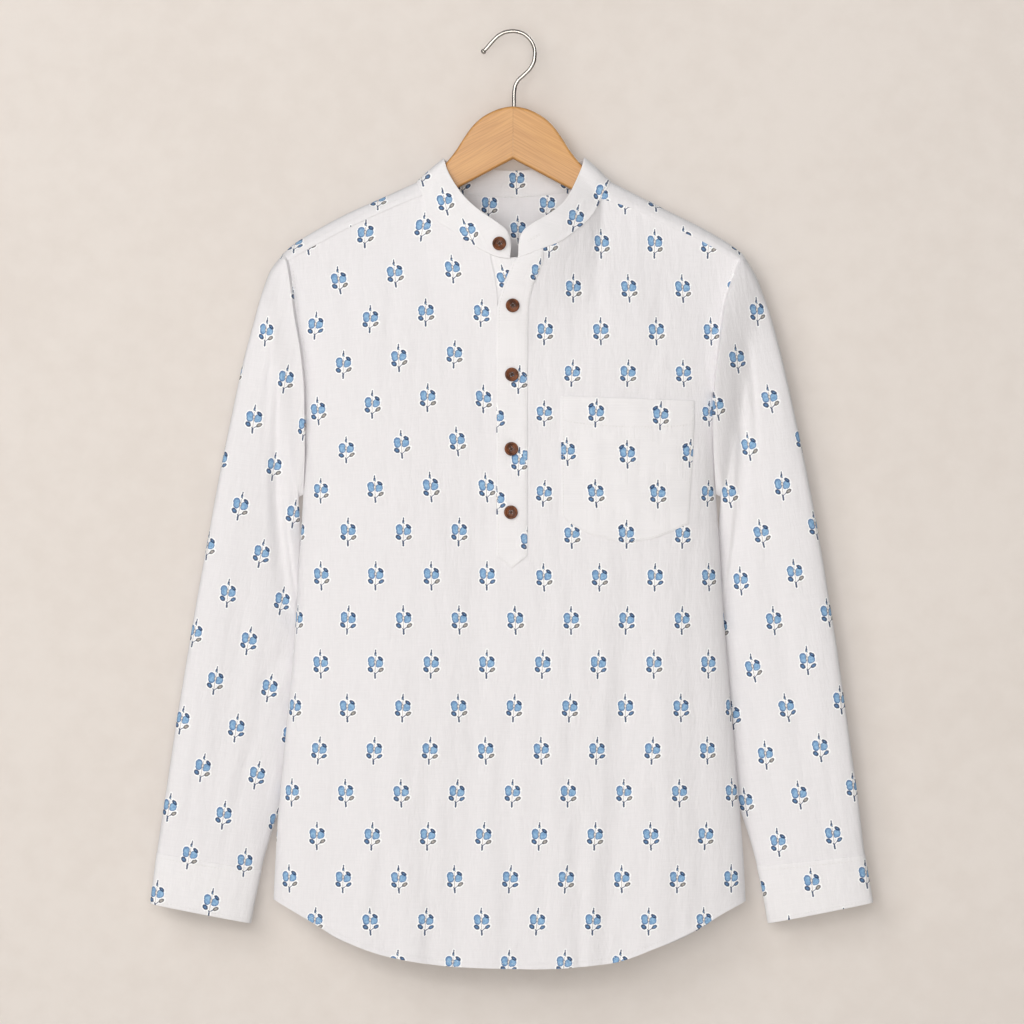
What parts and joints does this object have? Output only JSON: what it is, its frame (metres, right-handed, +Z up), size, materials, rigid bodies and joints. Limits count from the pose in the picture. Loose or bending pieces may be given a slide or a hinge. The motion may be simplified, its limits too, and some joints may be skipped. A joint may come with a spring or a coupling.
{
  "type": "kurta tunic on hanger",
  "caption": "Cotton kurta tunic with band collar, buttoned half placket, chest pocket and long cuffed sleeves, hung flat on a wooden hanger with a wire hook.",
  "frame": {"origin": "inside crown of the hanger's hook, where it rests on a rail", "axes": "+Z up, +X to the viewer's right (the wearer's left), -Y out of the garment's front"},
  "size_m": [0.6971, 0.072, 0.9035],
  "materials": {
    "printed_cotton": "plain weave with a small blue flower print",
    "interlined_cotton": "two layers of the printed cotton, interlined and edge stitched",
    "buttons": "polished brown, four holes",
    "hanger_wood": "clear satin varnish",
    "hook_steel": "bright plated wire"
  },
  "bodies": {
    "root": {"front": "printed_cotton", "back": "printed_cotton", "yoke": "printed_cotton", "sleeve_left": "printed_cotton", "sleeve_right": "printed_cotton", "pocket": "printed_cotton", "collar_band": "interlined_cotton", "cuff_left": "interlined_cotton", "cuff_right": "interlined_cotton", "placket_upper": "interlined_cotton", "placket_under": "interlined_cotton", "button_collar": "buttons", "button_1": "buttons", "button_2": "buttons", "button_3": "buttons", "button_4": "buttons", "hanger_arm_left": "hanger_wood", "hanger_arm_right": "hanger_wood", "hook": "hook_steel"}
  },
  "joints": []
}
